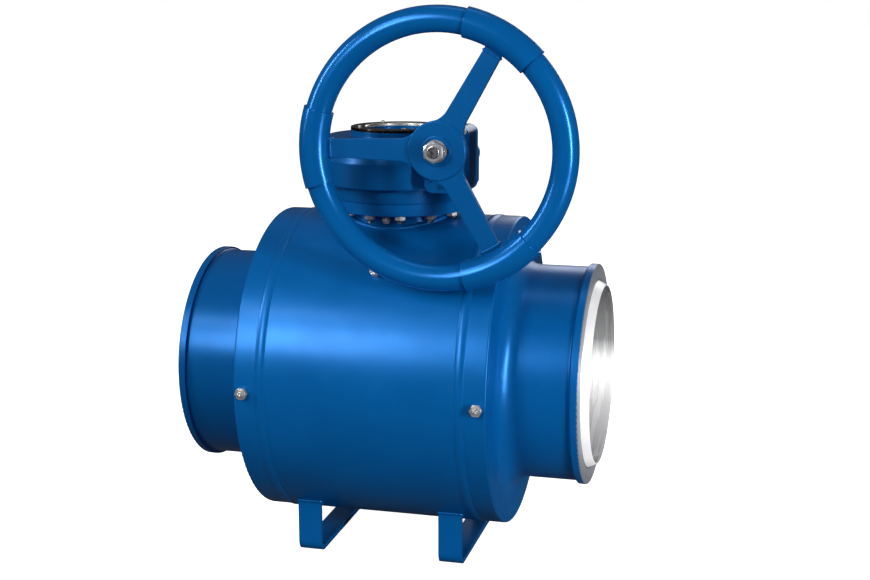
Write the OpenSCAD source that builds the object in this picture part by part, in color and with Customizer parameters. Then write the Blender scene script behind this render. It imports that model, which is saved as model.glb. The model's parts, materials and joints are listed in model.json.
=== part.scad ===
// Fully welded trunnion ball valve, DN 350 (NPS 14), with worm gear operator and handwheel.
// Frame: origin where the flow axis (X) meets the stem axis (Z); the handwheel is on the -Y side.

/* [Flow path] */
// Radius of the full bore through closures, seats and ball
bore_r = 168.3; // [165:0.1:169]
// Distance between the two butt-weld lands
end_to_end = 794; // [780:1:820]
// Radius of the weld spigot at the root of its bevel
spigot_r = 177.8; // [177:0.1:179]

/* [Body] */
// Outer radius of the barrel
barrel_r = 295; // [293:1:298]
// Half length of the barrel, end face to end face
barrel_half = 235.5; // [234:0.5:240]
// Distance of each girth weld from the stem axis
seam_x = 185; // [184:0.5:186]
// Outer radius of the neck behind each end lip
neck_r = 204; // [202:1:206]
// Outer radius of the raised end lip
lip_r = 210; // [208:1:213]
// Width of the end lip along the flow axis
lip_w = 15; // [12:1:18]
// Concave radius between barrel end face and neck
neck_fillet = 34; // [28:1:38]

/* [Ball and seats] */
// Radius of the ball
ball_r = 245; // [244:1:246]
// Height of the flats above and below the ball centre
ball_flat = 222; // [220:1:223]
// Travel of each floating seat away from the ball
seat_travel = 1; // [0.5:0.5:1]

/* [Stem and bonnet] */
// Radius of the stem
stem_r = 42; // [41:0.5:43]
// Outer radius of the bonnet neck
bonnet_r = 96; // [94:1:97]
// Outer radius of the bonnet flange
flange_r = 125; // [124:1:127]
// Radius of the stud circle in the bonnet flange
stud_circle = 112; // [111:0.5:113]
// Number of mounting studs
stud_count = 12; // [12:12]

/* [Gear operator] */
// Module of the worm gear set
worm_m = 3; // [3:3]
// Teeth on a full worm wheel, of which a quadrant is cut
gear_teeth = 72; // [72:72]
// Distance of the worm axis from the stem axis
worm_x = 122; // [122:122]
// Height of the worm axis
worm_z = 410; // [410:410]
// Distance of the handwheel axis from the stem axis
input_x = 137; // [137:137]
// Module of the input spur pair
spur_m = 1.5; // [1.5:1.5]
// Teeth on the spur gear that drives the worm shaft
spur_teeth = 36; // [36:36]
// Teeth on the input pinion
pinion_teeth = 16; // [16:16]

/* [Handwheel] */
// Radius of the rim's centre line
rim_r = 223.4; // [218:0.5:225]
// Outer radius of the rim tube
tube_r = 23.2; // [22:0.1:24]
// Distance of the rim's plane in front of the flow axis
rim_y = 252; // [250:1:262]
// Outer radius of the hub disc
hub_r = 51.5; // [48:0.5:56]

/* [Feet] */
// Distance of each foot from the stem axis
foot_x = 139; // [130:1:150]
// Half distance between the outer faces of a foot's legs
foot_half = 165; // [150:1:175]
// Height of the resting surface below the flow axis
foot_drop = 349; // [340:1:360]
// Width of the flat bar
foot_w = 45; // [40:1:50]
// Thickness of the flat bar
foot_t = 10; // [8:1:12]

/* [Hidden] */
$fn = 96;

paint = [0.0, 0.33, 0.63];
steel = [0.72, 0.72, 0.73];
dark_steel = [0.45, 0.45, 0.47];
bronze = [0.72, 0.53, 0.28];
polymer = [0.9, 0.9, 0.86];
rubber = [0.08, 0.08, 0.08];

eps = 0.05;                       // gap that keeps two touching pieces of one node apart
run = 0.05;                       // radial running clearance of a shaft in its bush

// Flow path and body
end_x = end_to_end / 2;
lip_face = end_x - 15;
land_w = 1.6;
cavity_r = 252;
weld_gap = 2;
weld_half = 9;
weld_crown = 1.8;
nose_x = 165;                     // inner end of a closure's guide sleeve
pocket_r = 214;
pocket_x = 212;
edge_r = 4;

// Seats
seat_front = 156;
seat_back = pocket_x - 6;
insert_in = 179;
insert_out = 189;
insert_back = 178;
insert_gap = 0.3;
oring_r = 3.5;
oring_xs = [172, 194];
spring_t = 3;

// Trunnions and stem
stub_r = 60;
stub_top = 262;
tang_w = 40;
tang_l = 84;
tang_z = 236;
trunnion_r = 50;
trunnion_top = -184;
disc_r = 90;
bonnet_bottom = 244;
collar_r = 56;
collar_top = 282;
flange_z = 306;
flange_top = 329;
packing_r = 48;
gland_r = 62;
gland_z = 323;
stem_top = 446;

// Fittings
fitting_x = 218;
fitting_af = 20;
stem_fitting_z = 297;
bleed_x = 10;
bleed_angle = 43;

// Mounting hardware
stud_r = 6;
nut_af = 19;
nut_h = 7;
stud_tail = 292;
stud_embed = 350;

// Gear operator stack
base_top = 356;
base_r = 128;
plate_r = 140;
plate_top = 366;
housing_r = 150;
housing_z = 358;
cavity_gear_r = 130;
roof_in = 430;
roof_top = 446;
shoulder_z = 404;
shoulder_h = 10;
upper_r = 146;
top_round = 9;
hub_journal = 62;
bush_out = 68;
boss_r = 95;
boss_top = 457;
ring_top = 463;
ring_in = 66;
bezel_turn = 40;
lower_bush_z = 350;
gear_hub_top = 440;

// Worm set
gear_pitch_r = worm_m * gear_teeth / 2;
worm_r = worm_x - gear_pitch_r;
worm_pitch = PI * worm_m;
worm_tip = worm_r + worm_m;
worm_root = worm_r - 1.25 * worm_m;
gear_tip = gear_pitch_r + worm_m;
gear_root = gear_pitch_r - 1.25 * worm_m;
lead_angle = atan(worm_m / (2 * worm_r));
flank_gap = 0.25;
thread_turns = 7;
thread_steps = 24;
thread_last = thread_turns * thread_steps;
worm_collar = 3;
worm_seat_r = 7;
worm_end = 39.5;
gear_face = 20;
sector_edge = -30;
first_tooth = -3;
last_tooth = 21;
worm_journal = 9;
worm_bush_out = 14;
rear_bush_out = 12;
tunnel_r = 19.5;
tunnel_y = 48;
boss_r_front = 20;
boss_r_rear = 19;
rear_face_y = 60;
rear_pad_r = 24;
cap_y = 64;

// Reducer box and spur pair
pressure = 20;
spur_gap = 0.12;
spur_face = 18;
spur_y = -113;
spur_dist = spur_m * (spur_teeth + pinion_teeth) / 2;
spur_angle = acos((input_x - worm_x) / spur_dist);
input_z = worm_z + spur_dist * sin(spur_angle);
spur_room_r = 29.5;
pinion_room_r = 20;
spur_room_y = -102;
reducer_x0 = 88;
reducer_x1 = 170;
reducer_z0 = 358;
reducer_z1 = 478;
reducer_round = 15;
reducer_back = -82;
reducer_split = -146;
reducer_front = -156;
nose_r = 29;
nose_y = -182;
input_r = 18;
tail_r = 9;
tail_bush_out = 13;
tail_end = -88;

// Travel stops
stop_y = 88;
stop_r = 6;
stop_boss_x = -142;
stop_end_x = -158;
stop_af = 19;
stop_nut_h = 10;

// Handwheel
arm_count = 3;
arm_t = 11;
arm_half_in = 21;
arm_half_out = 16;
arm_fillet = 40;
sleeve_r = 27;
sleeve_span = 34.4;
tube_wall = 4;
joint_span = 8;
hub_front = rim_y + 12;
hub_back = rim_y - 26;
boss_ring_r = 26;
key_w = 10;
key_top = 22.5;
nut_stub_r = 11;
wheel_nut_af = 34;
wheel_nut_h = 16;
wheel_washer_r = 19.5;
wheel_washer_t = 3;

// ---------- shared shapes ----------

// Turns a revolved shape about Z so that its axis lies along the flow
module along_x() {
    rotate([0, 90, 0]) children();
}

// Turns a shape drawn along Z so that it points to -Y, with its own Y upward
module toward_front() {
    rotate([90, 0, 0]) children();
}

// Hexagonal prism by its width across flats
module hex_prism(af, h) {
    cylinder(r = af / sqrt(3), h = h, $fn = 6);
}

// Ring about Z
module ring(r_out, r_in, z0, z1) {
    difference() {
        translate([0, 0, z0]) cylinder(r = r_out, h = z1 - z0);
        translate([0, 0, z0 - 1]) cylinder(r = r_in, h = z1 - z0 + 2);
    }
}

// Ring along Y about a point of the XZ plane, from y0 up to y1
module ring_y(x, z, r_out, r_in, y0, y1) {
    translate([x, y1, z]) toward_front() ring(r_out, r_in, 0, y1 - y0);
}

// Cylinder along Y about a point of the XZ plane, from y0 up to y1
module rod_y(x, z, r, y0, y1) {
    translate([x, y1, z]) toward_front() cylinder(r = r, h = y1 - y0);
}

// Rectangle with four round corners, centred
module round_rect(w, h, r) {
    square([w - 2 * r, h], center = true);
    square([w, h - 2 * r], center = true);
    for (sx = [-1, 1], sy = [-1, 1])
        translate([sx * (w / 2 - r), sy * (h / 2 - r)]) circle(r = r);
}

// Concave corner patch of radius f between the lines x = 0 and y = 0
module cove(f) {
    difference() {
        translate([-1, -1]) square([f + 1, f + 1]);
        translate([f, f]) circle(r = f);
    }
}

// Square with its outer corner at the origin removed, leaving a round of radius r
module round_off(r) {
    difference() {
        translate([-r, -r]) square([r + 1, r + 1]);
        translate([-r, -r]) circle(r = r);
    }
}

// Socket head cap screw along -Z, its head standing on z = 0
module cap_screw(r, length) {
    head_r = 1.55 * r;
    head_h = 1.9 * r;
    difference() {
        union() {
            cylinder(r = head_r, h = head_h);
            translate([0, 0, -length]) cylinder(r = r, h = length + 1);
        }
        translate([0, 0, head_h / 2]) hex_prism(1.6 * r, head_h);
    }
}

// ---------- gears ----------

function involute(a) = tan(a) * 180 / PI - a;

// Half the angle that a tooth fills at radius r
function tooth_half(r, rp, teeth, gap) =
    90 / teeth - gap / rp * 180 / PI + involute(pressure)
    - involute(acos(min(1, rp * cos(pressure) / r)));

// Outline of one tooth about the X axis, from inside the root out to the tip
module tooth_2d(rp, teeth, r_root, r_tip, gap, steps = 5) {
    r_base = max(r_root, rp * cos(pressure));
    radii = [for (i = [0:steps]) r_base + (r_tip - r_base) * i / steps];
    foot = tooth_half(r_base, rp, teeth, gap);
    low = [for (r = radii)
        let (half = tooth_half(r, rp, teeth, gap)) [r * cos(half), -r * sin(half)]];
    high = [for (i = [steps:-1:0]) [low[i][0], -low[i][1]]];
    inner = r_root - 2;
    polygon(concat([[inner * cos(foot), -inner * sin(foot)]], low, high,
        [[inner * cos(foot), inner * sin(foot)]]));
}

// Spur gear outline with a tooth at angle turn
module spur_2d(teeth, addendum, turn) {
    rp = spur_m * teeth / 2;
    r_root = rp - 1.25 * spur_m;
    circle(r = r_root);
    for (i = [0:teeth - 1])
        rotate(turn + i * 360 / teeth) tooth_2d(rp, teeth, r_root, rp + addendum, spur_gap, 3);
}

// Point of the worm at a helix step, at radius r and offset dy from the thread's middle
function thread_point(step, r, dy) =
    let (angle = (step - thread_last / 2) * 360 / thread_steps)
    [r * cos(angle), worm_pitch * angle / 360 + dy, r * sin(angle)];

// Ring of points about the worm axis at radius r and place y
function worm_ring(r, y) = [for (k = [0:thread_steps - 1])
    [r * cos(k * 360 / thread_steps), y, r * sin(k * 360 / thread_steps)]];

// Triangles that fan out over a face from its first corner
function fan(face) = [for (i = [1:len(face) - 2]) [face[0], face[i], face[i + 1]]];

// Worm sleeve about the Y axis: bore, core and one helical thread in a single skin.
// Each step of the helix has four points: 0 low root, 1 low tip, 2 high tip, 3 high root.
module worm_sleeve() {
    n = thread_steps;
    last = thread_last;
    half_pitch = worm_pitch / 4 - flank_gap;
    half_tip = half_pitch - worm_m * tan(pressure);
    half_root = half_pitch + (worm_r - worm_root) * tan(pressure);
    end_y = worm_pitch * thread_turns / 2 + half_root + worm_collar;
    bore = worm_seat_r / cos(180 / n) + run;
    helix = [for (s = [0:last]) each [
        thread_point(s, worm_root, -half_root), thread_point(s, worm_tip, -half_tip),
        thread_point(s, worm_tip, half_tip), thread_point(s, worm_root, half_root)]];
    base = 4 * (last + 1);
    low_out = [for (k = [0:n]) base + k % n];
    low_in = [for (k = [0:n]) base + n + k % n];
    high_out = [for (k = [0:n]) base + 2 * n + k % n];
    high_in = [for (k = [0:n]) base + 3 * n + k % n];
    top = last - n;
    thread = [for (s = [0:last - 1], k = [0:2]) [4 * s + k, 4 * s + 4 + k, 4 * s + 5 + k, 4 * s + 1 + k]];
    root = [for (s = [0:top - 1]) [4 * s + 3, 4 * s + 7, 4 * (s + n) + 4, 4 * (s + n)]];
    low_core = [for (k = [0:n - 2]) [low_out[k], low_out[k + 1], 4 * k + 4, 4 * k]];
    high_core = [for (k = [1:n - 1])
        [4 * (top + k) + 3, 4 * (top + k) + 7, high_out[k + 1], high_out[k]]];
    low_step = [low_out[n - 1], low_out[n], 0, 3, 4 * n, 4 * n - 4];
    high_step = [high_out[1], high_out[0], 4 * last + 3, 4 * last, 4 * top + 3, 4 * top + 7];
    thread_ends = [[0, 1, 2, 3], [4 * last + 3, 4 * last + 2, 4 * last + 1, 4 * last]];
    rings = [for (k = [0:n - 1]) each [
        [low_out[k + 1], low_out[k], low_in[k], low_in[k + 1]],
        [low_in[k + 1], low_in[k], high_in[k], high_in[k + 1]],
        [high_out[k], high_out[k + 1], high_in[k + 1], high_in[k]]]];
    polyhedron(
        points = concat(helix, worm_ring(worm_root, -end_y), worm_ring(bore, -end_y),
            worm_ring(worm_root, end_y), worm_ring(bore, end_y)),
        faces = [for (face = concat(thread, root, low_core, high_core, [low_step, high_step],
            thread_ends, rings)) each fan(face)]);
}

// ---------- pressure boundary ----------

module body_shell() {
    root_x = seam_x - weld_gap;
    top_x = seam_x - weld_half;
    color(paint)
    difference() {
        along_x() rotate_extrude() polygon([
            [cavity_r, -root_x], [barrel_r, -top_x], [barrel_r, top_x], [cavity_r, root_x]]);
        translate([0, 0, cavity_r - 60]) cylinder(r = bonnet_r, h = 120);
        translate([0, 0, -272]) cylinder(r = disc_r, h = 60);
        translate([0, 0, -barrel_r - 1]) cylinder(r = 9, h = 60);
        translate([bleed_x, 0, 0]) rotate([bleed_angle, 0, 0])
            translate([0, 0, cavity_r - 20]) cylinder(r = 6, h = 80);
    }
}

// Right closure: guide sleeve, barrel end, neck, lip and bevelled weld spigot
module closure() {
    root_x = seam_x + weld_gap;
    top_x = seam_x + weld_half;
    groove = 1.2;
    lip_back = lip_face - lip_w;
    difference() {
        along_x() rotate_extrude() difference() {
            union() {
                translate([pocket_r, nose_x]) square([cavity_r - pocket_r, seam_x - nose_x + 10]);
                polygon([[pocket_r, root_x], [cavity_r, root_x], [barrel_r, top_x],
                    [barrel_r, barrel_half], [pocket_r, barrel_half]]);
                translate([bore_r, pocket_x]) square([pocket_r - bore_r + 1, barrel_half - pocket_x]);
                translate([bore_r, pocket_x]) square([neck_r - bore_r, lip_face - pocket_x]);
                translate([neck_r, barrel_half]) cove(neck_fillet);
                translate([neck_r - 1, lip_back]) square([lip_r - neck_r + 1, lip_w]);
                translate([neck_r, lip_back]) mirror([0, 1]) cove(4);
                polygon([[bore_r, lip_face - 1], [spigot_r, lip_face - 1], [spigot_r, lip_face],
                    [bore_r + land_w, end_x], [bore_r, end_x]]);
            }
            translate([barrel_r, barrel_half]) round_off(edge_r);
            translate([lip_r, lip_face]) round_off(2.5);
            translate([lip_r, lip_back]) mirror([0, 1]) round_off(1.5);
            translate([spigot_r + groove, lip_face]) circle(r = groove);
        }
        translate([fitting_x, 0, 0]) toward_front() translate([0, 0, 205]) cylinder(r = 6, h = 100);
        translate([pocket_x - 1, -208, 0]) along_x() cylinder(r = 3, h = 8);
    }
}

module right_closure() {
    color(paint) closure();
}

module left_closure() {
    color(paint) mirror([1, 0, 0]) closure();
}

// Full-penetration weld rings that join the closures to the body shell
module girth_welds() {
    crown_r = (weld_half * weld_half + weld_crown * weld_crown) / (2 * weld_crown);
    color(paint)
    for (side = [-1, 1])
        translate([side * seam_x, 0, 0]) along_x() rotate_extrude() {
            polygon([[cavity_r, -weld_gap], [barrel_r, -weld_half],
                [barrel_r, weld_half], [cavity_r, weld_gap]]);
            intersection() {
                translate([barrel_r + weld_crown - crown_r, 0]) circle(r = crown_r);
                translate([barrel_r, -weld_half]) square([weld_crown + 1, 2 * weld_half]);
            }
        }
}

// U-shaped support bar with its legs welded to the barrel
module foot() {
    bend = 22;
    height = foot_drop - 200;
    translate([-foot_w / 2, 0, 0])
    difference() {
        rotate([90, 0, 90]) linear_extrude(foot_w) difference() {
            translate([0, -foot_drop + height / 2]) {
                round_rect(2 * foot_half, height, bend);
                translate([-foot_half, 0]) square([2 * foot_half, height / 2]);
            }
            translate([0, -foot_drop + foot_t + height / 2]) {
                round_rect(2 * (foot_half - foot_t), height, bend - foot_t);
                translate([-foot_half + foot_t, 0]) square([2 * (foot_half - foot_t), height / 2]);
            }
        }
        translate([-1, 0, 0]) along_x() cylinder(r = barrel_r, h = foot_w + 2);
    }
}

module right_foot() {
    color(paint) translate([foot_x, 0, 0]) foot();
}

module left_foot() {
    color(paint) translate([-foot_x, 0, 0]) foot();
}

// ---------- ball, trunnions and seats ----------

// Fixed pivot under the ball, with the cavity drain drilled through it
module lower_trunnion() {
    color(steel)
    difference() {
        union() {
            translate([0, 0, -272]) cylinder(r = disc_r, h = 46);
            translate([0, 0, -230]) cylinder(r = trunnion_r, h = 230 + trunnion_top);
        }
        translate([0, 0, -273]) cylinder(r = 5, h = 29);
        translate([0, disc_r + 1, -244]) toward_front() cylinder(r = 4, h = 2 * disc_r + 2);
    }
}

module trunnion_bush() {
    color(bronze) ring(trunnion_r + 5, trunnion_r + run, -ball_flat, trunnion_top);
}

module thrust_washer() {
    color(polymer) ring(disc_r - 2, trunnion_r + 1, -226, -ball_flat - run);
}

module ball() {
    color(steel)
    difference() {
        union() {
            intersection() {
                sphere(r = ball_r, $fn = 144);
                cube([2 * ball_r + 2, 2 * ball_r + 2, 2 * ball_flat], center = true);
            }
            translate([0, 0, ball_flat - 20]) cylinder(r = stub_r, h = stub_top - ball_flat + 20);
        }
        along_x() cylinder(r = bore_r, h = 2 * ball_r + 2, center = true);
        translate([0, 0, -ball_flat - 1]) cylinder(r = trunnion_r + 5, h = ball_flat + trunnion_top + 3);
        translate([-tang_w / 2, -tang_l / 2, tang_z]) cube([tang_w, tang_l, 40]);
    }
}

module upper_bush() {
    color(bronze) ring(stub_r + 6, stub_r + run, 246, stub_top);
}

// Seat carrier that slides in the closure's pocket
module seat_ring() {
    difference() {
        along_x() rotate_extrude() difference() {
            translate([bore_r, seat_front]) square([pocket_r - run - bore_r, seat_back - seat_front]);
            translate([insert_in, seat_front - 1])
                square([insert_out - insert_in, insert_back - seat_front + 1]);
            for (x = oring_xs)
                translate([pocket_r - 2 * oring_r, x - oring_r]) square([2 * oring_r, 2 * oring_r]);
            translate([pocket_r - run, seat_front]) mirror([0, 1]) round_off(3);
        }
        sphere(r = ball_r + 1.5, $fn = 144);
    }
}

module seat_insert() {
    difference() {
        along_x() rotate_extrude() translate([insert_in, seat_front - 10])
            square([insert_out - insert_in, insert_back - seat_front + 10]);
        sphere(r = ball_r + insert_gap, $fn = 144);
    }
}

// Two O-rings in the seat carrier's grooves
module seat_seals() {
    for (x = oring_xs)
        translate([x, 0, 0]) along_x() rotate_extrude() translate([pocket_r - oring_r - run, 0])
            circle(r = oring_r - run, $fn = 32);
}

// Coned disc spring that presses the seat carrier toward the ball
module seat_spring() {
    front = seat_back + seat_travel + 0.3;
    along_x() rotate_extrude() polygon([
        [bore_r + 4, pocket_x - spring_t], [pocket_r - 3, front],
        [pocket_r - 3, front + spring_t], [bore_r + 4, pocket_x]]);
}

module right_seat_ring() {
    color(steel) seat_ring();
}

module left_seat_ring() {
    color(steel) mirror([1, 0, 0]) seat_ring();
}

module right_seat_insert() {
    color(polymer) seat_insert();
}

module left_seat_insert() {
    color(polymer) mirror([1, 0, 0]) seat_insert();
}

module right_seat_seals() {
    color(rubber) seat_seals();
}

module left_seat_seals() {
    color(rubber) mirror([1, 0, 0]) seat_seals();
}

module right_seat_spring() {
    color(steel) seat_spring();
}

module left_seat_spring() {
    color(steel) mirror([1, 0, 0]) seat_spring();
}

// ---------- stem and bonnet ----------

module bonnet() {
    color(paint)
    difference() {
        union() {
            translate([0, 0, bonnet_bottom]) cylinder(r = bonnet_r, h = flange_z - bonnet_bottom + 1);
            rotate_extrude() difference() {
                translate([0, flange_z]) square([flange_r, flange_top - flange_z]);
                translate([flange_r, flange_z]) mirror([0, 1]) round_off(1.5);
            }
            rotate_extrude() translate([bonnet_r, flange_z]) mirror([0, 1]) cove(3);
        }
        translate([0, 0, bonnet_bottom - 1]) cylinder(r = stub_r + 6, h = stub_top - bonnet_bottom + 1);
        translate([0, 0, stub_top - 1]) cylinder(r = gland_r, h = collar_top + 3 - stub_top);
        translate([0, 0, collar_top]) cylinder(r = packing_r, h = 60);
        translate([0, 0, gland_z]) cylinder(r = gland_r, h = 20);
        for (i = [0:stud_count - 1])
            rotate((i + 0.5) * 360 / stud_count) translate([stud_circle, 0, flange_z - 1])
                cylinder(r = stud_r + 0.5, h = flange_top - flange_z + 2);
        for (i = [0:3])
            rotate(45 + 90 * i) translate([(packing_r + gland_r) / 2, 0, gland_z - 15])
                cylinder(r = 3, h = 20);
        translate([0, -packing_r + 5, stem_fitting_z]) toward_front() cylinder(r = 6, h = bonnet_r);
    }
}

module stem() {
    keyway = 8.6;
    color(dark_steel)
    difference() {
        union() {
            translate([-tang_w / 2, -tang_l / 2, tang_z]) cube([tang_w, tang_l, stub_top - tang_z + 1]);
            translate([0, 0, stub_top]) cylinder(r = collar_r, h = collar_top - stub_top);
            translate([0, 0, stub_top]) cylinder(r = stem_r, h = stem_top - stub_top);
        }
        translate([-stem_r - 1, -11, 384]) cube([keyway + 1, 22, stem_top - 384 + 1]);
        for (y = [-1, 1])
            translate([0, y * 24, stem_top - 16]) cylinder(r = 3, h = 20);
    }
}

module stem_thrust_washer() {
    color(polymer) ring(collar_r, stem_r + 1, collar_top + run, collar_top + 2);
}

module stem_bush() {
    color(bronze) ring(packing_r, stem_r + run, collar_top + 2, 300);
}

// Three packing rings round the stem
module stem_packing() {
    color(rubber)
    for (i = [0:2])
        ring(packing_r, stem_r + run, 300 + 5 * i, 304.8 + 5 * i);
}

module gland_ring() {
    color(steel)
    difference() {
        union() {
            ring(packing_r, stem_r + 0.5, 315, gland_z + 1);
            ring(gland_r, stem_r + 0.5, gland_z, flange_top);
        }
        for (i = [0:3])
            rotate(45 + 90 * i) translate([(packing_r + gland_r) / 2, 0, gland_z - 1])
                cylinder(r = 3.4, h = 10);
    }
}

module gland_screws() {
    color(dark_steel)
    for (i = [0:3])
        rotate(45 + 90 * i) translate([(packing_r + gland_r) / 2, 0, flange_top]) cap_screw(3, 18);
}

// ---------- fittings and mounting hardware ----------

// Sealant injection fitting that points along Z, its hex standing on z = 0
module fitting() {
    difference() {
        union() {
            translate([0, 0, -16]) cylinder(r = 6, h = 17);
            cylinder(r = 8.2, h = 2);
            translate([0, 0, 1.5]) intersection() {
                hex_prism(fitting_af, 8);
                translate([0, 0, -14]) sphere(r = 24);
            }
            translate([0, 0, 9]) cylinder(r = 7.4, h = 3);
            translate([0, 0, 12]) cylinder(r = 4.6, h = 3.5);
            translate([0, 0, 16]) sphere(r = 4.2);
        }
        translate([0, 0, 17]) cylinder(r = 1.6, h = 8);
    }
}

module seat_fittings() {
    color(steel)
    for (side = [-1, 1])
        translate([side * fitting_x, -barrel_r, 0]) toward_front() fitting();
}

module bleed_fitting() {
    color(steel)
    translate([bleed_x, 0, 0]) rotate([bleed_angle, 0, 0]) translate([0, 0, barrel_r]) fitting();
}

module stem_fitting() {
    color(steel) translate([0, -bonnet_r, stem_fitting_z]) toward_front() scale(0.75) fitting();
}

module drain_plug() {
    color(dark_steel)
    translate([0, 0, -barrel_r])
    difference() {
        union() {
            cylinder(r = 9, h = 22);
            mirror([0, 0, 1]) cylinder(r = 11.5, h = 2);
            translate([0, 0, -8]) hex_prism(19, 7);
        }
        translate([0, 0, -9]) hex_prism(8, 5);
    }
}

// Lower end of the stud at angle a, kept clear of the barrel's crown
function stud_end(a) =
    let (y = max(0, abs(stud_circle * sin(a)) - stud_r))
    max(stud_tail, sqrt(barrel_r * barrel_r - y * y) + 1);

module mounting_studs() {
    color(steel)
    for (i = [0:stud_count - 1]) {
        a = (i + 0.5) * 360 / stud_count;
        rotate(a) translate([stud_circle, 0, stud_end(a)]) cylinder(r = stud_r, h = stud_embed - stud_end(a));
    }
}

module mounting_nuts() {
    color(steel)
    for (i = [0:stud_count - 1])
        rotate((i + 0.5) * 360 / stud_count) translate([stud_circle, 0, flange_z - nut_h])
            difference() {
                hex_prism(nut_af, nut_h);
                translate([0, 0, -1]) cylinder(r = stud_r, h = nut_h + 2);
            }
}

// ---------- gear operator ----------

// Mounting flange with the plate that closes the gear housing from below
module gear_base() {
    color(paint)
    difference() {
        union() {
            rotate_extrude() difference() {
                translate([0, flange_top]) square([base_r, base_top - flange_top]);
                translate([base_r, flange_top]) mirror([0, 1]) round_off(1.5);
            }
            translate([0, 0, base_top - 1]) cylinder(r = plate_r, h = plate_top - base_top + 1);
        }
        translate([0, 0, flange_top - 1]) cylinder(r = hub_journal + 2, h = plate_top - flange_top + 2);
        translate([0, 0, lower_bush_z]) cylinder(r = bush_out, h = 40);
        for (i = [0:stud_count - 1])
            rotate((i + 0.5) * 360 / stud_count) translate([stud_circle, 0, flange_top - 1])
                cylinder(r = stud_r, h = stud_embed - flange_top + 1);
        for (i = [0:7])
            rotate(22.5 + 45 * i) translate([plate_r - 6, 0, base_top - 2]) {
                cylinder(r = 3.3, h = 20);
                cylinder(r = 5, h = 7);
            }
    }
}

module base_screws() {
    color(dark_steel)
    for (i = [0:7])
        rotate(22.5 + 45 * i) translate([plate_r - 6, 0, base_top + 5]) mirror([0, 0, 1]) cap_screw(3, 16);
}

module housing_gasket() {
    color(rubber)
    difference() {
        ring(plate_r, cavity_gear_r, plate_top, plate_top + 1);
        for (i = [0:7])
            rotate(22.5 + 45 * i) translate([plate_r - 6, 0, plate_top - 1]) cylinder(r = 3.3, h = 4);
    }
}

// Revolved outline of the gear housing's round part, without its cavity
module housing_profile() {
    difference() {
        union() {
            polygon([[0, housing_z], [housing_r, housing_z], [housing_r, shoulder_z],
                [upper_r, shoulder_z + shoulder_h], [upper_r, roof_top], [0, roof_top]]);
            translate([0, roof_top - 1]) square([boss_r, boss_top - roof_top + 1]);
            translate([boss_r, roof_top]) cove(2);
        }
        translate([upper_r, roof_top]) round_off(top_round);
        translate([housing_r, housing_z]) mirror([0, 1]) round_off(2);
    }
}

// Outline of the reducer box in the XZ plane
module reducer_2d() {
    translate([(reducer_x0 + reducer_x1) / 2, (reducer_z0 + reducer_z1) / 2])
        round_rect(reducer_x1 - reducer_x0, reducer_z1 - reducer_z0, reducer_round);
}

// Places of the reducer cover's screws in the XZ plane
reducer_holes = [[98, 469], [162, 470], [161, 420], [161, 371], [125, 369], [96, 382]];

// Places of the worm end cap's screws, each along +Y
module at_cap_screws() {
    for (i = [0:3])
        translate([worm_x, rear_face_y, worm_z]) rotate([-90, 0, 0]) rotate(45 + 90 * i)
            translate([(rear_bush_out + boss_r_rear) / 2, 0, 0]) children();
}

// Gear room with its roof boss and the two bearing bosses of the worm left standing
module gear_room() {
    difference() {
        translate([0, 0, plate_top]) cylinder(r = cavity_gear_r, h = roof_in - plate_top);
        translate([0, 0, 424]) cylinder(r = 80, h = 10);
        rod_y(worm_x, worm_z, boss_r_front, -100, -tunnel_y);
        rod_y(worm_x, worm_z, boss_r_rear, tunnel_y, 100);
        rod_y(worm_x, worm_z, rear_pad_r, rear_face_y - 3, 100);
    }
}

module gear_housing() {
    color(paint)
    difference() {
        union() {
            rotate_extrude() housing_profile();
            rod_y(worm_x, worm_z, boss_r_front, reducer_back, -tunnel_y);
            rod_y(worm_x, worm_z, tunnel_r + 4, -tunnel_y, tunnel_y - 4);
            rod_y(worm_x, worm_z, boss_r_rear, 0, rear_face_y);
            translate([0, reducer_back, 0]) toward_front()
                linear_extrude(reducer_back - reducer_split) reducer_2d();
            for (y = [-stop_y, stop_y])
                translate([stop_boss_x, y, worm_z]) along_x() cylinder(r = 13, h = 50);
        }
        translate([0, 0, housing_z - 1]) cylinder(r = plate_r, h = plate_top + 1 - housing_z + 1);
        gear_room();
        translate([0, 0, 420]) cylinder(r = bush_out, h = roof_top - 1 - 420);
        translate([0, 0, roof_top - 10]) cylinder(r = ring_in, h = 40);
        rod_y(worm_x, worm_z, tunnel_r, -tunnel_y, tunnel_y - 4);
        rod_y(worm_x, worm_z, worm_bush_out, reducer_split - 1, 0);
        rod_y(worm_x, worm_z, rear_bush_out, 0, rear_face_y + 1);
        rod_y(worm_x, worm_z, boss_r_rear + 1, rear_face_y, 100);
        rod_y(worm_x, worm_z, spur_room_r, reducer_split - 1, spur_room_y);
        rod_y(input_x, input_z, pinion_room_r, reducer_split - 1, spur_room_y);
        rod_y(input_x, input_z, tail_bush_out, reducer_split - 1, tail_end);
        for (y = [-stop_y, stop_y])
            translate([stop_boss_x - 1, y, worm_z]) along_x() cylinder(r = stop_r, h = 90);
        for (i = [0:7])
            rotate(22.5 + 45 * i) translate([plate_r - 6, 0, plate_top]) cylinder(r = 3, h = 12);
        at_bezel_screws() translate([0, 0, boss_top - 8]) cylinder(r = 2, h = 10);
        for (p = reducer_holes)
            rod_y(p[0], p[1], 3, reducer_split - 1, reducer_split + 13);
        at_cap_screws() cylinder(r = 1.5, h = 20, center = true);
    }
}

module lower_gear_bush() {
    color(bronze) ring(bush_out, hub_journal + run, lower_bush_z, plate_top - 1);
}

module upper_gear_bush() {
    color(bronze) ring(bush_out, hub_journal + run, 424, gear_hub_top);
}

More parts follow.
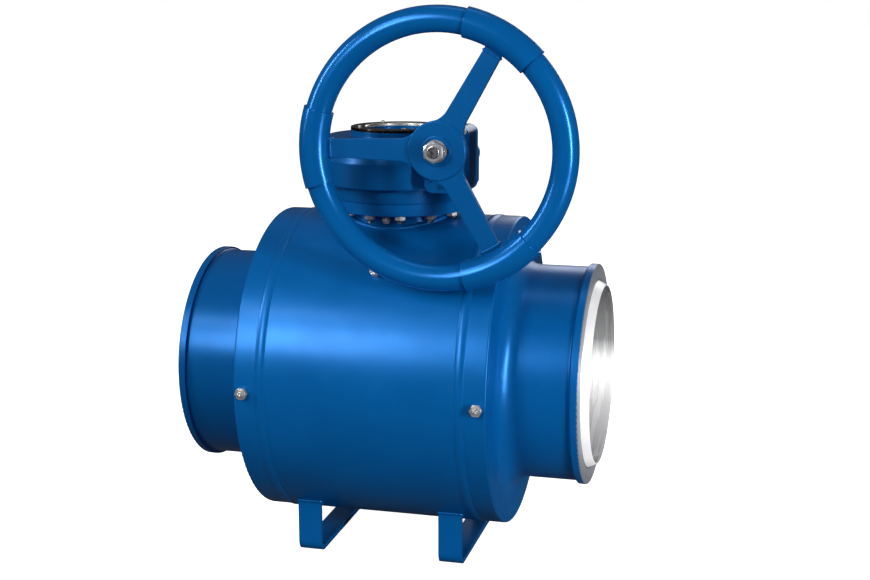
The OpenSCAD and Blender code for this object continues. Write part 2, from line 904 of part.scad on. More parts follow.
// Quadrant worm wheel on the stem, with its teeth tilted to the worm's lead
module worm_gear() {
    color(bronze)
    difference() {
        union() {
            translate([0, 0, lower_bush_z + 0.5])
                cylinder(r = hub_journal, h = gear_hub_top - lower_bush_z - 0.5);
            translate([0, 0, plate_top + 0.3]) cylinder(r = hub_journal + 12, h = 12);
            translate([0, 0, worm_z - gear_face / 2]) linear_extrude(gear_face) intersection() {
                circle(r = gear_root);
                translate([sector_edge, sector_edge]) square([200, 200]);
            }
            for (i = [first_tooth:last_tooth])
                rotate(i * 360 / gear_teeth) translate([0, 0, worm_z]) rotate([lead_angle, 0, 0])
                    linear_extrude(gear_face - 1, center = true)
                        tooth_2d(gear_pitch_r, gear_teeth, gear_root, gear_tip, flank_gap);
        }
        translate([0, 0, lower_bush_z - 1]) cylinder(r = stem_r, h = 120);
        translate([-stem_r - 5.4, -11, lower_bush_z - 1]) cube([20, 22, 120]);
    }
}

module gear_key() {
    color(steel) translate([-stem_r - 5.4, -11, 384]) cube([14, 22, 54]);
}

// Pointer disc on top of the stem
module indicator_disc() {
    color(dark_steel)
    difference() {
        union() {
            translate([0, 0, stem_top]) cylinder(r = stub_r, h = 4);
            translate([0, 0, stem_top + 3.5]) linear_extrude(2)
                polygon([[-50, -5], [34, -5], [34, -14], [54, 0], [34, 14], [34, 5], [-50, 5]]);
        }
        for (y = [-1, 1])
            translate([0, y * 24, stem_top - 1]) cylinder(r = 3.3, h = 10);
    }
}

module indicator_screws() {
    color(steel)
    for (y = [-1, 1])
        translate([0, y * 24, stem_top + 4]) cap_screw(3, 16);
}

// Places of the bezel's screws about the stem axis
module at_bezel_screws() {
    for (i = [0:3])
        rotate(bezel_turn + 90 * i) translate([(boss_r + ring_in) / 2 + 4, 0, 0]) children();
}

// Bezel on the housing boss, notched at the open and closed marks
module indicator_ring() {
    color(steel)
    difference() {
        rotate_extrude() difference() {
            translate([ring_in, boss_top]) square([boss_r - ring_in, ring_top - boss_top]);
            translate([boss_r, ring_top]) round_off(1.5);
            translate([ring_in, ring_top]) mirror([1, 0]) round_off(3);
        }
        for (a = [0, 270])
            rotate(a) translate([ring_in - 1, -1.5, ring_top - 1.2]) cube([12, 3, 4]);
        at_bezel_screws() translate([0, 0, boss_top - 1]) cylinder(r = 2.2, h = 10);
    }
}

// Adjustable end stops that the quadrant's flat sides come to rest on
module stop_screws() {
    tip = sector_edge - 0.3;
    color(steel)
    for (y = [-stop_y, stop_y])
        translate([stop_end_x, y, worm_z]) along_x() difference() {
            cylinder(r = stop_r, h = tip - stop_end_x);
            translate([0, 0, -1]) hex_prism(6, 6);
        }
}

module stop_nuts() {
    color(steel)
    for (y = [-stop_y, stop_y])
        translate([stop_boss_x - stop_nut_h, y, worm_z]) along_x() difference() {
            hex_prism(stop_af, stop_nut_h);
            translate([0, 0, -1]) cylinder(r = stop_r, h = stop_nut_h + 2);
        }
}

// Single-start worm pressed on its shaft
module worm() {
    color(steel) translate([worm_x, 0, worm_z]) worm_sleeve();
}

module worm_shaft() {
    front = spur_y - spur_face / 2 - 3;
    color(steel)
    difference() {
        union() {
            rod_y(worm_x, worm_z, worm_seat_r, front, rear_face_y - 4);
            rod_y(worm_x, worm_z, worm_journal, spur_room_y - 1, -worm_end);
        }
        translate([worm_x - 3, front - 1, worm_z + 4]) cube([6, spur_face + 5, 10]);
    }
}

// Front and rear bushes of the worm shaft
module worm_bushes() {
    color(bronze) {
        ring_y(worm_x, worm_z, worm_bush_out, worm_journal + run, -100, -tunnel_y - 2);
        ring_y(worm_x, worm_z, rear_bush_out, worm_seat_r + run, tunnel_y - 2, rear_face_y - 4);
    }
}

module worm_end_cap() {
    color(paint)
    difference() {
        union() {
            rod_y(worm_x, worm_z, boss_r_rear, rear_face_y, cap_y);
            rod_y(worm_x, worm_z, rear_bush_out, rear_face_y - 3.5, rear_face_y + 1);
        }
        at_cap_screws() cylinder(r = 1.8, h = 10, center = true);
    }
}

// Spur gear on the worm shaft with its drive key
module spur_gear() {
    back = spur_y + spur_face / 2;
    color(dark_steel)
    difference() {
        translate([worm_x, back, worm_z]) toward_front()
            linear_extrude(spur_face) spur_2d(spur_teeth, 0.9 * spur_m, spur_angle);
        rod_y(worm_x, worm_z, worm_seat_r, -150, -100);
        translate([worm_x - 3, -150, worm_z]) cube([6, 50, 10]);
    }
    color(steel)
    translate([worm_x - 3 + eps, back - spur_face, worm_z + 4]) cube([6 - 2 * eps, spur_face, 5.9]);
}

// Input shaft cut in one piece with its pinion, its keyed seat and its threaded stub
module input_shaft() {
    end_y = -hub_front + 2;
    back = spur_y + spur_face / 2;
    stub_y = -hub_front - wheel_washer_t - wheel_nut_h - 3;
    color(steel)
    difference() {
        union() {
            translate([input_x, back, input_z]) toward_front() linear_extrude(spur_face)
                spur_2d(pinion_teeth, spur_m, spur_angle + 180 + 180 / pinion_teeth);
            rod_y(input_x, input_z, tail_r, back - spur_face - 5, tail_end - 1);
            rod_y(input_x, input_z, input_r, end_y, back - spur_face - 4);
            rod_y(input_x, input_z, 23, -hub_back, nose_y - 1);
            translate([input_x, end_y + 1, input_z]) toward_front() rotate_extrude() difference() {
                square([nut_stub_r, end_y + 1 - stub_y]);
                translate([nut_stub_r, end_y + 1 - stub_y]) round_off(1.5);
            }
        }
        translate([input_x + 13, end_y - 1, input_z - key_w / 2]) cube([10, 33, key_w]);
    }
}

module input_bushes() {
    color(bronze) {
        ring_y(input_x, input_z, tail_bush_out, tail_r + run, spur_room_y, tail_end);
        ring_y(input_x, input_z, input_r + 5, input_r + run, -174, reducer_split);
    }
}

module input_seal() {
    color(rubber) ring_y(input_x, input_z, 26, input_r + run, nose_y, -174);
}

module reducer_cover() {
    color(paint)
    difference() {
        union() {
            translate([0, reducer_split, 0]) toward_front()
                linear_extrude(reducer_split - reducer_front) reducer_2d();
            rod_y(input_x, input_z, nose_r, nose_y, reducer_split);
        }
        rod_y(input_x, input_z, input_r + 5, nose_y - 1, reducer_split + 1);
        rod_y(input_x, input_z, 26, nose_y - 1, -174);
        for (p = reducer_holes)
            rod_y(p[0], p[1], 3.4, reducer_front - 1, reducer_split + 1);
    }
}

// Screws of the reducer cover, of the worm's end cap and of the bezel
module cover_screws() {
    color(dark_steel) {
        for (p = reducer_holes)
            translate([p[0], reducer_front, p[1]]) toward_front() cap_screw(3, 22);
        at_cap_screws() translate([0, 0, cap_y - rear_face_y]) cap_screw(1.5, 12);
        at_bezel_screws() translate([0, 0, ring_top]) cap_screw(2, 12);
    }
}

// ---------- handwheel ----------

// One arm's outline along +X with coves that run into the hub
module arm_2d() {
    reach = rim_r - tube_r + 8;
    taper = atan((arm_half_in - arm_half_out) / reach);
    side = arm_half_in * cos(taper) + arm_fillet;
    slide = sqrt(pow(hub_r + arm_fillet, 2) - side * side);
    cx = side * sin(taper) + slide * cos(taper);
    cy = side * cos(taper) - slide * sin(taper);
    polygon([[0, -arm_half_in], [reach, -arm_half_out], [reach, arm_half_out], [0, arm_half_in]]);
    for (flip = [0, 1])
        mirror([0, flip]) difference() {
            polygon([[0, 0], [cx - arm_fillet * sin(taper), cy - arm_fillet * cos(taper)], [cx, cy],
                [cx * hub_r / (hub_r + arm_fillet), cy * hub_r / (hub_r + arm_fillet)]]);
            translate([cx, cy]) circle(r = arm_fillet);
        }
}

// Hub with three flat arms that end on the rim sleeves
module handwheel_arms() {
    color(paint)
    difference() {
        union() {
            translate([input_x, -rim_y + arm_t / 2, input_z]) toward_front()
                linear_extrude(arm_t)
                    for (i = [0:arm_count - 1])
                        rotate(60 + 120 * i) arm_2d();
            translate([input_x, -rim_y, input_z]) toward_front() rotate_extrude() difference() {
                union() {
                    translate([0, -9]) square([hub_r, 17]);
                    translate([0, -26]) square([30, 20]);
                    translate([30, -9]) mirror([0, 1]) cove(5);
                    translate([0, 7]) square([boss_ring_r, hub_front - rim_y - 7]);
                }
                translate([hub_r, 8]) round_off(2);
                translate([hub_r, -9]) mirror([0, 1]) round_off(2);
                translate([boss_ring_r, hub_front - rim_y]) round_off(1);
            }
        }
        rod_y(input_x, input_z, input_r, -hub_front - 1, -hub_back + 1);
        translate([input_x, -hub_front - 1, input_z - key_w / 2])
            cube([key_top, hub_front - hub_back + 2, key_w]);
        translate([input_x, -rim_y, input_z]) toward_front() rotate_extrude()
            translate([rim_r, 0]) circle(r = sleeve_r);
    }
}

// Arc of the rim centred on the angle mid, with ring section r_out to r_in
module rim_arc(mid, span, r_out, r_in) {
    translate([input_x, -rim_y, input_z]) toward_front() rotate(mid - span / 2)
        rotate_extrude(angle = span) translate([rim_r, 0]) difference() {
            circle(r = r_out);
            circle(r = r_in);
        }
}

module rim_tubes() {
    color(paint)
    for (i = [0:arm_count - 1])
        rim_arc(120 * i, 360 / arm_count - joint_span, tube_r, tube_r - tube_wall);
}

module rim_sleeves() {
    color(paint)
    for (i = [0:arm_count - 1])
        rim_arc(60 + 120 * i, sleeve_span, sleeve_r, tube_r);
}

module handwheel_key() {
    color(dark_steel)
    translate([input_x + 13, -hub_front + 0.5, input_z - key_w / 2]) cube([key_top - 13, 30, key_w]);
}

// Chamfered hexagon nut with its washer, which holds the wheel on the input shaft
module handwheel_nut() {
    face_r = 0.45 * wheel_nut_af;
    face_z = wheel_washer_t + wheel_nut_h;
    color(steel)
    translate([input_x, -hub_front, input_z]) toward_front() {
        difference() {
            intersection() {
                translate([0, 0, wheel_washer_t]) rotate(30) hex_prism(wheel_nut_af, wheel_nut_h);
                cylinder(r1 = face_r + face_z / tan(30), r2 = face_r, h = face_z);
            }
            cylinder(r = nut_stub_r, h = 40);
        }
        ring(wheel_washer_r, nut_stub_r, 0, wheel_washer_t - eps);
    }
}

body_shell();
left_closure();
right_closure();
girth_welds();
left_foot();
right_foot();
lower_trunnion();
trunnion_bush();
thrust_washer();
ball();
upper_bush();
stem();
stem_thrust_washer();
left_seat_ring();
right_seat_ring();
left_seat_insert();
right_seat_insert();
left_seat_seals();
right_seat_seals();
left_seat_spring();
right_seat_spring();
bonnet();
stem_bush();
stem_packing();
gland_ring();
gland_screws();
seat_fittings();
bleed_fitting();
stem_fitting();
drain_plug();
mounting_studs();
mounting_nuts();
gear_base();
base_screws();
housing_gasket();
gear_housing();
lower_gear_bush();
upper_gear_bush();
worm_gear();
gear_key();
indicator_disc();
indicator_screws();
indicator_ring();
stop_screws();
stop_nuts();
worm_shaft();
worm();
worm_bushes();
worm_end_cap();
spur_gear();
input_shaft();
input_bushes();
input_seal();
reducer_cover();
cover_screws();
handwheel_arms();
rim_tubes();
rim_sleeves();
handwheel_key();
handwheel_nut();
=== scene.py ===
import json
import math

import bpy
from mathutils import Matrix, Vector


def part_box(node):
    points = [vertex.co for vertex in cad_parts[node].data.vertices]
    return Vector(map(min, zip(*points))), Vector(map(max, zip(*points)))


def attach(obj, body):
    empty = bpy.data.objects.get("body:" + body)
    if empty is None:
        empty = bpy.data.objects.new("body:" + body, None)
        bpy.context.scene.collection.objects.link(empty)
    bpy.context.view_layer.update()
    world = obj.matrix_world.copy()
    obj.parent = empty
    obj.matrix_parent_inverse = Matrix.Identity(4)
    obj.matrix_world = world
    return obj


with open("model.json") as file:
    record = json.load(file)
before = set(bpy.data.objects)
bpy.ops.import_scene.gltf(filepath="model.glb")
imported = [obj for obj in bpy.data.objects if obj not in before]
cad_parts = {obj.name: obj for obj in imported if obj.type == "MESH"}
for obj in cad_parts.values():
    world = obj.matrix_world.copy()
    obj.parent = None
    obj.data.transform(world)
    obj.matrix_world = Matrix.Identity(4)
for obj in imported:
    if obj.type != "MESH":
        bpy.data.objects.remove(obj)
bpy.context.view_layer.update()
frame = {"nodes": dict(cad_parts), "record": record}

nodes = frame["nodes"]
record = frame["record"]

# ---------- the object's main sizes, read from the frame ----------

MM = 0.001
FLOOR_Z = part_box("left_foot")[0].z
END_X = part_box("right_closure")[1].x
BARREL_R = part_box("body_shell")[1].y
SPIGOT_LENGTH = 15 * MM
LIP_FACE = END_X - SPIGOT_LENGTH
BORE_R = 168.3 * MM
SPIGOT_R = 177.8 * MM
BONNET_R = 96 * MM
BEZEL_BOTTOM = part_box("indicator_ring")[0].z
BEZEL_OPENING_R = 69.3 * MM

joints = {joint["name"]: joint for joint in record["behaviour"]["joints"]}
WHEEL = Vector(joints["handwheel_turn"]["pos_m"])
sleeve_low, sleeve_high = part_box("rim_sleeves")
SLEEVE_R = (sleeve_high.y - sleeve_low.y) / 2
# The highest sleeve ends short of the wheel's top, so this is about 5 mm less than the rim's middle radius.
ARM_END_R = sleeve_high.z - WHEEL.z - SLEEVE_R * 0.98


# ---------- camera ----------

CAMERA_AZIMUTH = math.radians(14.48)
CAMERA_ELEVATION = math.radians(11.79)
CAMERA_DISTANCE = 2.8496
CAMERA_RIGHT = 0.06555
CAMERA_UP = 0.13985
CAMERA_LENS = 59.81
CAMERA_SENSOR = 36.0


def make_camera():
    """The viewpoint: a turn about Z, a tilt, and an aim point beside the ball's centre."""
    sin_a, cos_a = math.sin(CAMERA_AZIMUTH), math.cos(CAMERA_AZIMUTH)
    sin_e, cos_e = math.sin(CAMERA_ELEVATION), math.cos(CAMERA_ELEVATION)
    right = Vector((cos_a, sin_a, 0))
    back = Vector((sin_a * cos_e, -cos_a * cos_e, sin_e))
    up = back.cross(right)
    data = bpy.data.cameras.new("camera")
    data.lens = CAMERA_LENS
    data.sensor_width = CAMERA_SENSOR
    data.clip_end = 100
    camera = bpy.data.objects.new("camera", data)
    bpy.context.scene.collection.objects.link(camera)
    place = Matrix((right, up, back)).transposed().to_4x4()
    place.translation = right * CAMERA_RIGHT + up * CAMERA_UP + back * CAMERA_DISTANCE
    camera.matrix_world = place
    bpy.context.scene.camera = camera


# ---------- materials ----------

class Nodes:
    """Short names for the shader nodes that both the materials and the surround use."""

    def __init__(self, tree):
        self.tree = tree

    def link(self, a, b):
        self.tree.links.new(a, b)

    def node(self, kind, **values):
        made = self.tree.nodes.new(kind)
        for key, value in values.items():
            setattr(made, key, value)
        return made

    def split(self, vector):
        """The three coordinates of a vector."""
        made = self.node("ShaderNodeSeparateXYZ")
        self.link(vector, made.inputs[0])
        return made.outputs

    def seen(self):
        """1 for what the camera sees directly, and 0 for all other light."""
        return self.node("ShaderNodeLightPath").outputs["Is Camera Ray"]

    def ramp(self, source, low, high, to_low=0.0, to_high=1.0):
        """source between low and high, carried over to to_low and to_high."""
        made = self.node("ShaderNodeMapRange")
        for key, value in zip(("From Min", "From Max", "To Min", "To Max"), (low, high, to_low, to_high)):
            made.inputs[key].default_value = value
        self.link(source, made.inputs["Value"])
        return made.outputs["Result"]

    def math(self, operation, a, b=None):
        made = self.node("ShaderNodeMath", operation=operation)
        for socket, value in zip(made.inputs, (a, b)):
            if isinstance(value, (int, float)):
                socket.default_value = value
            elif value is not None:
                self.link(value, socket)
        return made.outputs[0]


class Shader(Nodes):
    """A Principled material."""

    def __init__(self, name):
        self.material = bpy.data.materials.new(name)
        self.material.use_nodes = True
        super().__init__(self.material.node_tree)
        self.bsdf = self.tree.nodes["Principled BSDF"]
        self.place = self.tree.nodes.new("ShaderNodeTexCoord").outputs["Object"]

    def noise(self, scale, detail, rough, stretch=(1, 1, 1), vector=None):
        """Noise at so many features per metre."""
        mapping = self.node("ShaderNodeMapping")
        mapping.inputs["Scale"].default_value = [scale * s for s in stretch]
        self.link(vector or self.place, mapping.inputs["Vector"])
        noise = self.node("ShaderNodeTexNoise")
        noise.inputs["Scale"].default_value = 1.0
        noise.inputs["Detail"].default_value = detail
        noise.inputs["Roughness"].default_value = rough
        self.link(mapping.outputs[0], noise.inputs["Vector"])
        return noise.outputs["Fac"]

    def mix(self, fac, a, b):
        """Colour a where fac is 0 and colour b where it is 1."""
        made = self.node("ShaderNodeMix", data_type="RGBA")
        self.link(fac, made.inputs["Factor"])
        for socket, value in ((made.inputs[6], a), (made.inputs[7], b)):
            if isinstance(value, tuple):
                socket.default_value = (*value, 1)
            else:
                self.link(value, socket)
        return made.outputs[2]

    def axes(self, along):
        """Distance along one of the object's axes, and distance from that axis."""
        coordinates = self.split(self.place)
        squares = [self.math("POWER", coordinates[i], 2.0) for i in range(3) if i != along]
        return coordinates[along], self.math("SQRT", self.math("ADD", *squares))

    def bump(self, height, strength, distance, normal=None):
        made = self.node("ShaderNodeBump")
        made.inputs["Strength"].default_value = strength
        made.inputs["Distance"].default_value = distance
        self.link(height, made.inputs["Height"])
        if normal is not None:
            self.link(normal, made.inputs["Normal"])
        return made.outputs[0]

    def soft_edges(self, radius):
        """A normal that rounds sharp edges over so many metres."""
        made = self.node("ShaderNodeBevel", samples=6)
        made.inputs["Radius"].default_value = radius
        return made.outputs[0]

    def set(self, **values):
        for key, value in values.items():
            socket = self.bsdf.inputs[key.replace("_", " ")]
            if isinstance(value, tuple):
                socket.default_value = (*value, 1)
            elif isinstance(value, (int, float)):
                socket.default_value = value
            else:
                self.link(value, socket)
        return self.material


def scaled(colour, share):
    return tuple(c * share for c in colour)


def enamel(name, edge=0.0015, cast=0.0, shade=1.0, rough=(0.28, 0.36)):
    """Glossy blue enamel: slight mottling and haze, orange peel, and a cast skin below it."""
    s = Shader(name)
    mottle = s.ramp(s.noise(6, 4, 0.55), 0.35, 0.65)
    haze = s.ramp(s.noise(45, 5, 0.65), 0.45, 0.75)
    colour = s.mix(mottle, scaled((0.0005, 0.104, 0.350), shade), scaled((0.0009, 0.116, 0.385), shade))
    colour = s.mix(s.math("MULTIPLY", haze, 0.10), colour, (0.002, 0.085, 0.28))
    normal = s.bump(s.noise(34, 2, 0.4), 0.04, 0.003, s.soft_edges(edge))
    normal = s.bump(s.noise(300, 2, 0.45), 0.035, 0.0006, normal)
    if cast:
        normal = s.bump(s.noise(900, 3, 0.6), cast, 0.0006, normal)
    roughness = s.ramp(s.noise(14, 5, 0.6), 0.3, 0.7, *rough)
    return s.set(Base_Color=colour, Roughness=roughness, Normal=normal, Metallic=0.30,
                 Specular_IOR_Level=0.10, Coat_Weight=0.08, Coat_Roughness=0.22)


METAL_EDGE = 0.8 * MM
FINE_EDGE = 0.5 * MM
SOFT_EDGE = 0.4 * MM
THREAD_EDGE = 0.3 * MM


def turned_steel(name, base, rough, metallic=1.0):
    """Lathe-turned steel: fine rings about X, faint stain and roughness streaks."""
    s = Shader(name)
    along, radius = s.axes(0)
    rings = s.node("ShaderNodeCombineXYZ")
    s.link(along, rings.inputs[0])
    s.link(radius, rings.inputs[1])
    grooves = s.noise(1600, 2, 0.6, vector=rings.outputs[0])
    bands = s.noise(160, 3, 0.6, vector=rings.outputs[0])
    stain = s.ramp(s.noise(16, 5, 0.65), 0.35, 0.75)
    colour = s.mix(stain, base, scaled(base, 0.86))
    roughness = s.ramp(bands, 0.3, 0.7, *rough)
    normal = s.bump(grooves, 0.08, 0.0004, s.soft_edges(METAL_EDGE))
    return s.set(Base_Color=colour, Metallic=metallic, Roughness=roughness, Normal=normal)


# Painted sheen: greys painted into the bore's base colour by height, bright a little below the middle and
# dark at the top.
BORE_PAINTED_SHEEN = ((0.0, 0.42), (0.22, 0.60), (0.40, 0.97), (0.47, 0.86), (0.58, 0.24), (0.80, 0.15), (1.0, 0.03))


def bored_steel_painted_sheen(name):
    """Bored steel: turning rings along X, and a painted sheen in the base colour, light to dark by height
    across the bore.
    """
    s = Shader(name)
    wander = s.ramp(s.noise(9, 3, 0.5), 0.0, 1.0, -0.012, 0.012)
    height = s.math("ADD", s.split(s.place)[2], wander)
    painted_sheen = s.node("ShaderNodeValToRGB")
    while len(painted_sheen.color_ramp.elements) < len(BORE_PAINTED_SHEEN):
        painted_sheen.color_ramp.elements.new(0.5)
    for element, (place, grey) in zip(painted_sheen.color_ramp.elements, BORE_PAINTED_SHEEN):
        element.position = place
        element.color = (grey, grey * 1.01, grey * 1.03, 1)
    s.link(s.ramp(height, -BORE_R, BORE_R), painted_sheen.inputs["Fac"])
    grooves = s.noise(1, 2, 0.6, stretch=(900, 8, 8))
    roughness = s.ramp(s.noise(1, 3, 0.6, stretch=(120, 6, 6)), 0.3, 0.7, 0.22, 0.32)
    normal = s.bump(grooves, 0.04, 0.0004, s.soft_edges(METAL_EDGE))
    return s.set(Base_Color=painted_sheen.outputs["Color"], Metallic=0.15, Roughness=roughness, Normal=normal)


def bright_metal(name, base, rough, scale=300, metallic=1.0):
    """Plain machined or plated metal with fine scratches and dulled patches."""
    s = Shader(name)
    scratch = s.noise(scale, 3, 0.6, stretch=(1, 1, 6))
    patches = s.ramp(s.noise(55, 4, 0.6), 0.35, 0.7)
    colour = s.mix(patches, base, scaled(base, 0.72))
    roughness = s.ramp(s.noise(90, 4, 0.6), 0.3, 0.7, *rough)
    normal = s.bump(scratch, 0.12, 0.0003, s.soft_edges(FINE_EDGE))
    return s.set(Base_Color=colour, Metallic=metallic, Roughness=roughness, Normal=normal)


def threaded_metal(name, base, axis, pitch):
    """Metal whose skin carries the ridges of a screw thread along one axis, with painted shade in the
    thread's roots.
    """
    s = Shader(name)
    along, _ = s.axes(axis)
    ridge = s.math("SINE", s.math("MULTIPLY", along, 2 * math.pi / pitch))
    patches = s.ramp(s.noise(70, 4, 0.6), 0.35, 0.7)
    colour = s.mix(patches, base, scaled(base, 0.7))
    # Painted shade: the thread's roots are darkened towards dark brown.
    colour = s.mix(s.ramp(ridge, -1.0, -0.4, 0.5, 0.0), colour, (0.05, 0.045, 0.04))
    roughness = s.ramp(s.noise(90, 4, 0.6), 0.3, 0.7, 0.25, 0.4)
    normal = s.bump(ridge, 0.9, pitch * 0.3, s.soft_edges(THREAD_EDGE))
    return s.set(Base_Color=colour, Metallic=1.0, Roughness=roughness, Normal=normal)


def soft_solid(name, base, rough):
    """Rubber or polymer with a fine matt grain."""
    s = Shader(name)
    grain = s.noise(200, 4, 0.6)
    colour = s.mix(s.ramp(grain, 0.3, 0.7), base, scaled(base, 0.85))
    normal = s.bump(grain, 0.15, 0.0004, s.soft_edges(SOFT_EDGE))
    return s.set(Base_Color=colour, Roughness=rough, Normal=normal)


paint = enamel("blue_enamel")
wheel_paint = enamel("blue_enamel_wheel", rough=(0.20, 0.26))
cast_paint = enamel("blue_enamel_cast", edge=0.0018, cast=0.03, shade=0.80)
turned = turned_steel("turned_steel", (0.62, 0.62, 0.63), (0.16, 0.28))
bore_steel_painted_sheen = bored_steel_painted_sheen("bored_steel_painted_sheen")
bevel_steel = turned_steel("bevelled_steel", (0.95, 0.95, 0.96), (0.30, 0.38), metallic=0.3)
lip_steel = turned_steel("faced_steel", (0.30, 0.32, 0.36), (0.34, 0.44), metallic=0.6)
stainless = bright_metal("stainless_steel", (0.62, 0.61, 0.59), rough=(0.24, 0.38), metallic=0.7)
ring_dark = bright_metal("bezel_dark", (0.055, 0.046, 0.040), rough=(0.18, 0.30))
plated = bright_metal("plated_steel", (0.75, 0.76, 0.77), rough=(0.08, 0.14), scale=500)
dark = bright_metal("dark_steel", (0.14, 0.13, 0.12), rough=(0.3, 0.45))
nut_steel = bright_metal("nut_steel", (0.42, 0.43, 0.45), rough=(0.26, 0.38), metallic=0.65)
black = bright_metal("black_oxide", (0.03, 0.03, 0.035), rough=(0.35, 0.5))
bronze = bright_metal("bronze", (0.58, 0.36, 0.15), rough=(0.25, 0.4))
M12_PITCH = 1.75 * MM
stud_thread = threaded_metal("stud_thread", (0.52, 0.50, 0.47), 2, M12_PITCH)
stop_thread = threaded_metal("stop_thread", (0.52, 0.50, 0.47), 0, M12_PITCH)
ptfe = soft_solid("ptfe", (0.80, 0.79, 0.73), 0.45)
rubber = soft_solid("black_rubber", (0.015, 0.015, 0.016), 0.7)

BY_SLOT = {
    "blue_enamel": paint, "plated_ball": plated, "machined_steel": turned, "dark_steel": dark,
    "black_screws": black, "stainless": stainless, "bronze": bronze, "ptfe": ptfe, "black_rubber": rubber,
}
BY_NODE = {
    "gear_housing": cast_paint, "reducer_cover": cast_paint, "gear_base": cast_paint,
    "worm_end_cap": cast_paint, "handwheel_arms": cast_paint, "rim_tubes": wheel_paint,
    "rim_sleeves": wheel_paint, "mounting_studs": stud_thread, "stop_screws": stop_thread,
    "handwheel_nut": nut_steel, "indicator_disc": stainless,
}


def dress(obj, *materials, pick=None):
    """Give an object its materials, and each face the one that pick(face centre) numbers."""
    obj.data.materials.clear()
    for material in materials:
        obj.data.materials.append(material)
    if pick:
        for face in obj.data.polygons:
            face.material_index = pick(face.center)


def dress_cad_nodes():
    for part in record["subparts"]:
        name = part["node"]
        dress(nodes[name], BY_NODE.get(name, BY_SLOT[part["material_slot"]]))


PAINT, LIP, BEVEL, BORE, GROOVE_PAINTED_SHADE = range(5)


def weld_end_zone(centre):
    """The bore, the bevelled spigot and the lip's end face of a closure stay unpainted."""
    x = abs(centre.x)
    radius = math.hypot(centre.y, centre.z)
    if radius < BORE_R + 0.6 * MM:
        return BORE
    if x > LIP_FACE + 0.5 * MM:
        return BEVEL
    if x <= LIP_FACE - 1.3 * MM:
        return PAINT
    # The groove at the spigot's root gets dark steel: painted shade in that recess.
    return GROOVE_PAINTED_SHADE if radius < SPIGOT_R + 2.5 * MM else LIP


def dress_weld_ends():
    for closure in ("left_closure", "right_closure"):
        dress(nodes[closure], paint, lip_steel, bevel_steel, bore_steel_painted_sheen, dark, pick=weld_end_zone)


def dress_bezel():
    """The dark bezel gets bright stainless round its opening's rounded edge as a painted highlight, and
    bright screws.
    """
    # Painted highlight: faces inside the opening's radius get bright stainless.
    dress(nodes["indicator_ring"], ring_dark, stainless,
          pick=lambda centre: int(math.hypot(centre.x, centre.y) < BEZEL_OPENING_R))
    dress(nodes["cover_screws"], cast_paint, stainless, pick=lambda centre: int(centre.z > BEZEL_BOTTOM))


# ---------- weld beads ----------

BEAD_SIDES = 10
BEAD_RIPPLE = 3.4 * MM
BEAD_SWELL = 0.09
BEAD_STEP = 0.8 * MM
OBLIQUE = Vector((0.31, 0.17, 0.93))
FOOT_THICKNESS = 10 * MM
ARM_WIDTH = 32 * MM
ARM_THICKNESS = 11 * MM
ARM_ANGLES = (60, 180, 300)


def bead(name, loops, radius, body):
    """Closed weld beads, each along a loop of points, with the ripples of its run."""
    vertices, faces = [], []
    for loop in loops:
        count = len(loop)
        start = len(vertices)
        travel = 0.0
        for i, point in enumerate(loop):
            ahead = loop[(i + 1) % count] - loop[i - 1]
            travel += (point - loop[i - 1]).length
            swell = radius * (1 + BEAD_SWELL * math.sin(travel / BEAD_RIPPLE * math.tau))
            side = ahead.normalized().cross(OBLIQUE).normalized()
            lift = side.cross(ahead.normalized())
            for k in range(BEAD_SIDES):
                turn = math.tau * k / BEAD_SIDES
                vertices.append(point + (side * math.cos(turn) + lift * math.sin(turn)) * swell)
        for i in range(count):
            here, after = start + i * BEAD_SIDES, start + (i + 1) % count * BEAD_SIDES
            for k in range(BEAD_SIDES):
                m = (k + 1) % BEAD_SIDES
                faces.append((here + k, here + m, after + m, after + k))
    mesh = bpy.data.meshes.new(name)
    mesh.from_pydata(vertices, [], faces)
    mesh.polygons.foreach_set("use_smooth", [True] * len(faces))
    piece = bpy.data.objects.new(name, mesh)
    bpy.context.scene.collection.objects.link(piece)
    dress(piece, paint)
    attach(piece, body)


def bar_outline(width, height):
    """Points round a flat bar's section with its round corners, as (across, up) pairs."""
    width, height, corner = width + 1 * MM, height + 1 * MM, 2 * MM
    points = []
    for turn, (cx, cy) in enumerate(((1, 1), (-1, 1), (-1, -1), (1, -1))):
        centre = Vector((cx * (width / 2 - corner), cy * (height / 2 - corner)))
        arcs = max(3, round(corner * math.pi / 2 / BEAD_STEP))
        for i in range(arcs + 1):
            angle = math.pi / 2 * (turn + i / arcs)
            points.append(centre + corner * Vector((math.cos(angle), math.sin(angle))))
    dense = []
    for i, point in enumerate(points):
        after = points[(i + 1) % len(points)]
        parts = max(1, round((after - point).length / BEAD_STEP))
        dense += [point.lerp(after, j / parts) for j in range(parts)]
    return dense


def bonnet_weld():
    """Saddle-shaped bead where the bonnet's neck meets the barrel."""
    radius = BONNET_R + 1.5 * MM
    loop = []
    steps = 720
    for i in range(steps):
        angle = math.tau * i / steps
        x, y = radius * math.cos(angle), radius * math.sin(angle)
        loop.append(Vector((x, y, math.sqrt(BARREL_R ** 2 - y ** 2) + 0.8 * MM)))
    bead("bonnet_weld", [loop], 5 * MM, "valve_body")


def foot_welds(node):
    """Beads round the two legs of a foot, on the barrel's underside."""
    low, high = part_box(node)
    middle_x = (low.x + high.x) / 2
    width = high.x - low.x
    loops = []
    for side in (-1, 1):
        middle_y = side * (high.y - FOOT_THICKNESS / 2)
        loop = []
        for across, deep in bar_outline(width, FOOT_THICKNESS):
            y = middle_y + deep
            loop.append(Vector((middle_x + across, y, -math.sqrt(BARREL_R ** 2 - y ** 2))))
        loops.append(loop)
    bead(node + "_welds", loops, 3.2 * MM, "valve_body")


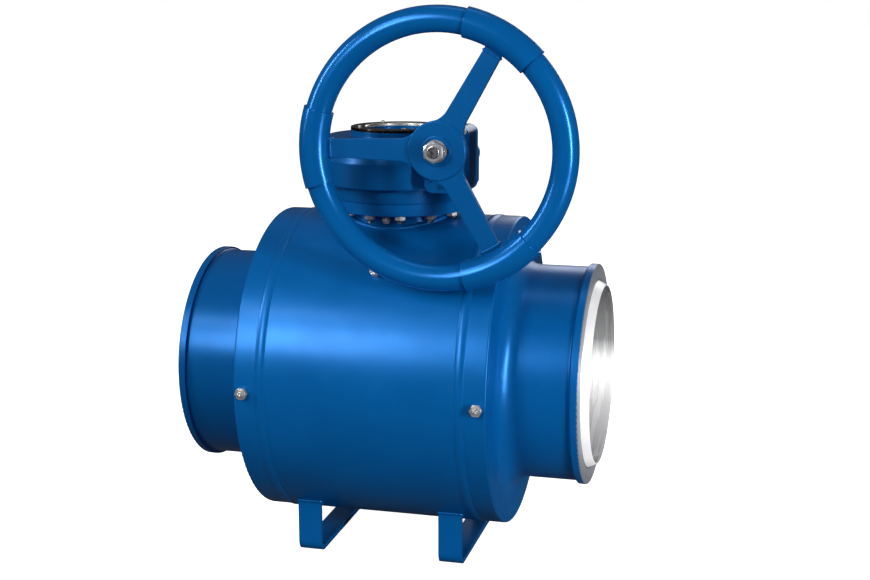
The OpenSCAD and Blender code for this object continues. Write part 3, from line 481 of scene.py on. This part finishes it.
def arm_welds():
    """Beads where the three arms end on the rim's sleeves."""
    loops = []
    for turn in ARM_ANGLES:
        out = Vector((math.cos(math.radians(turn)), 0, math.sin(math.radians(turn))))
        along = Vector((-out.z, 0, out.x))
        loop = []
        for across, deep in bar_outline(ARM_WIDTH, ARM_THICKNESS):
            reach = ARM_END_R - math.sqrt(SLEEVE_R ** 2 - deep ** 2)
            drop = reach - math.sqrt(reach ** 2 - across ** 2)
            loop.append(WHEEL + out * (reach - drop) + along * across + Vector((0, deep, 0)))
        loops.append(loop)
    bead("arm_welds", loops, 2.2 * MM, "handwheel")


# ---------- stage ----------

def area_light(name, place, target, size, power, spread=180):
    data = bpy.data.lights.new(name, "AREA")
    data.shape = "RECTANGLE"
    data.size, data.size_y = size
    data.energy = power
    data.spread = math.radians(spread)
    light = bpy.data.objects.new(name, data)
    light.location = place
    light.rotation_euler = (Vector(target) - Vector(place)).to_track_quat("-Z", "Y").to_euler()
    light.visible_camera = False
    bpy.context.scene.collection.objects.link(light)


def make_floor():
    """A plain floor, white to the camera, that throws little light back at the object's underside."""
    bpy.ops.mesh.primitive_plane_add(size=80, location=(0, 0, FLOOR_Z))
    floor = bpy.context.object
    floor.name = "floor"
    s = Shader("pale_floor")
    seen = s.seen()
    s.set(Base_Color=s.mix(seen, (0.10, 0.10, 0.10), (0.90, 0.90, 0.90)), Roughness=0.9,
          Specular_IOR_Level=0.0, Emission_Color=(1.0, 1.0, 1.0), Emission_Strength=seen)
    dress(floor, s.material)


def make_world():
    """Studio surround: white to the camera, and a soft dim gradient to the object."""
    world = bpy.data.worlds.new("studio")
    bpy.context.scene.world = world
    world.use_nodes = True
    s = Nodes(world.node_tree)
    height = s.split(s.node("ShaderNodeTexCoord").outputs["Generated"])[2]
    strength = s.math("MAXIMUM", s.ramp(height, -0.2, 1.0, 0.02, 0.16), s.seen())
    background = s.tree.nodes["Background"]
    background.inputs["Color"].default_value = (1, 1, 1, 1)
    s.link(strength, background.inputs["Strength"])


def make_stage():
    make_floor()
    make_world()
    area_light("key", (-1.6, -2.7, 2.6), (0, 0, 0.1), (0.9, 0.6), 18)
    area_light("front", (-1.5, -3.75, 1.8), (0, 0, 0.0), (1.0, 1.3), 73)
    area_light("left_strip", (-2.9, -1.45, 1.5), (-0.2, -0.2, 0.1), (0.2, 1.8), 50)
    area_light("right_strip", (2.7, -1.8, 0.6), (0.3, -0.2, 0.0), (0.14, 1.5), 80)
    area_light("right_low", (1.8, -1.4, -0.25), (0.4, -0.1, 0.0), (0.5, 0.18), 3.5)
    area_light("top", (0.0, 0.5, 3.4), (0, 0, 0.3), (1.4, 0.5), 4)
    area_light("back", (0.4, 3.8, 1.5), (0, 0, 0.1), (2.0, 1.4), 24)
    area_light("weld_end", (1.9, -0.75, -0.1), (END_X, 0.05, -0.03), (0.16, 0.16), 0.8, spread=20)
    bpy.context.scene.view_settings.view_transform = "Standard"


make_camera()
dress_cad_nodes()
dress_weld_ends()
dress_bezel()
bonnet_weld()
foot_welds("left_foot")
foot_welds("right_foot")
arm_welds()
make_stage()
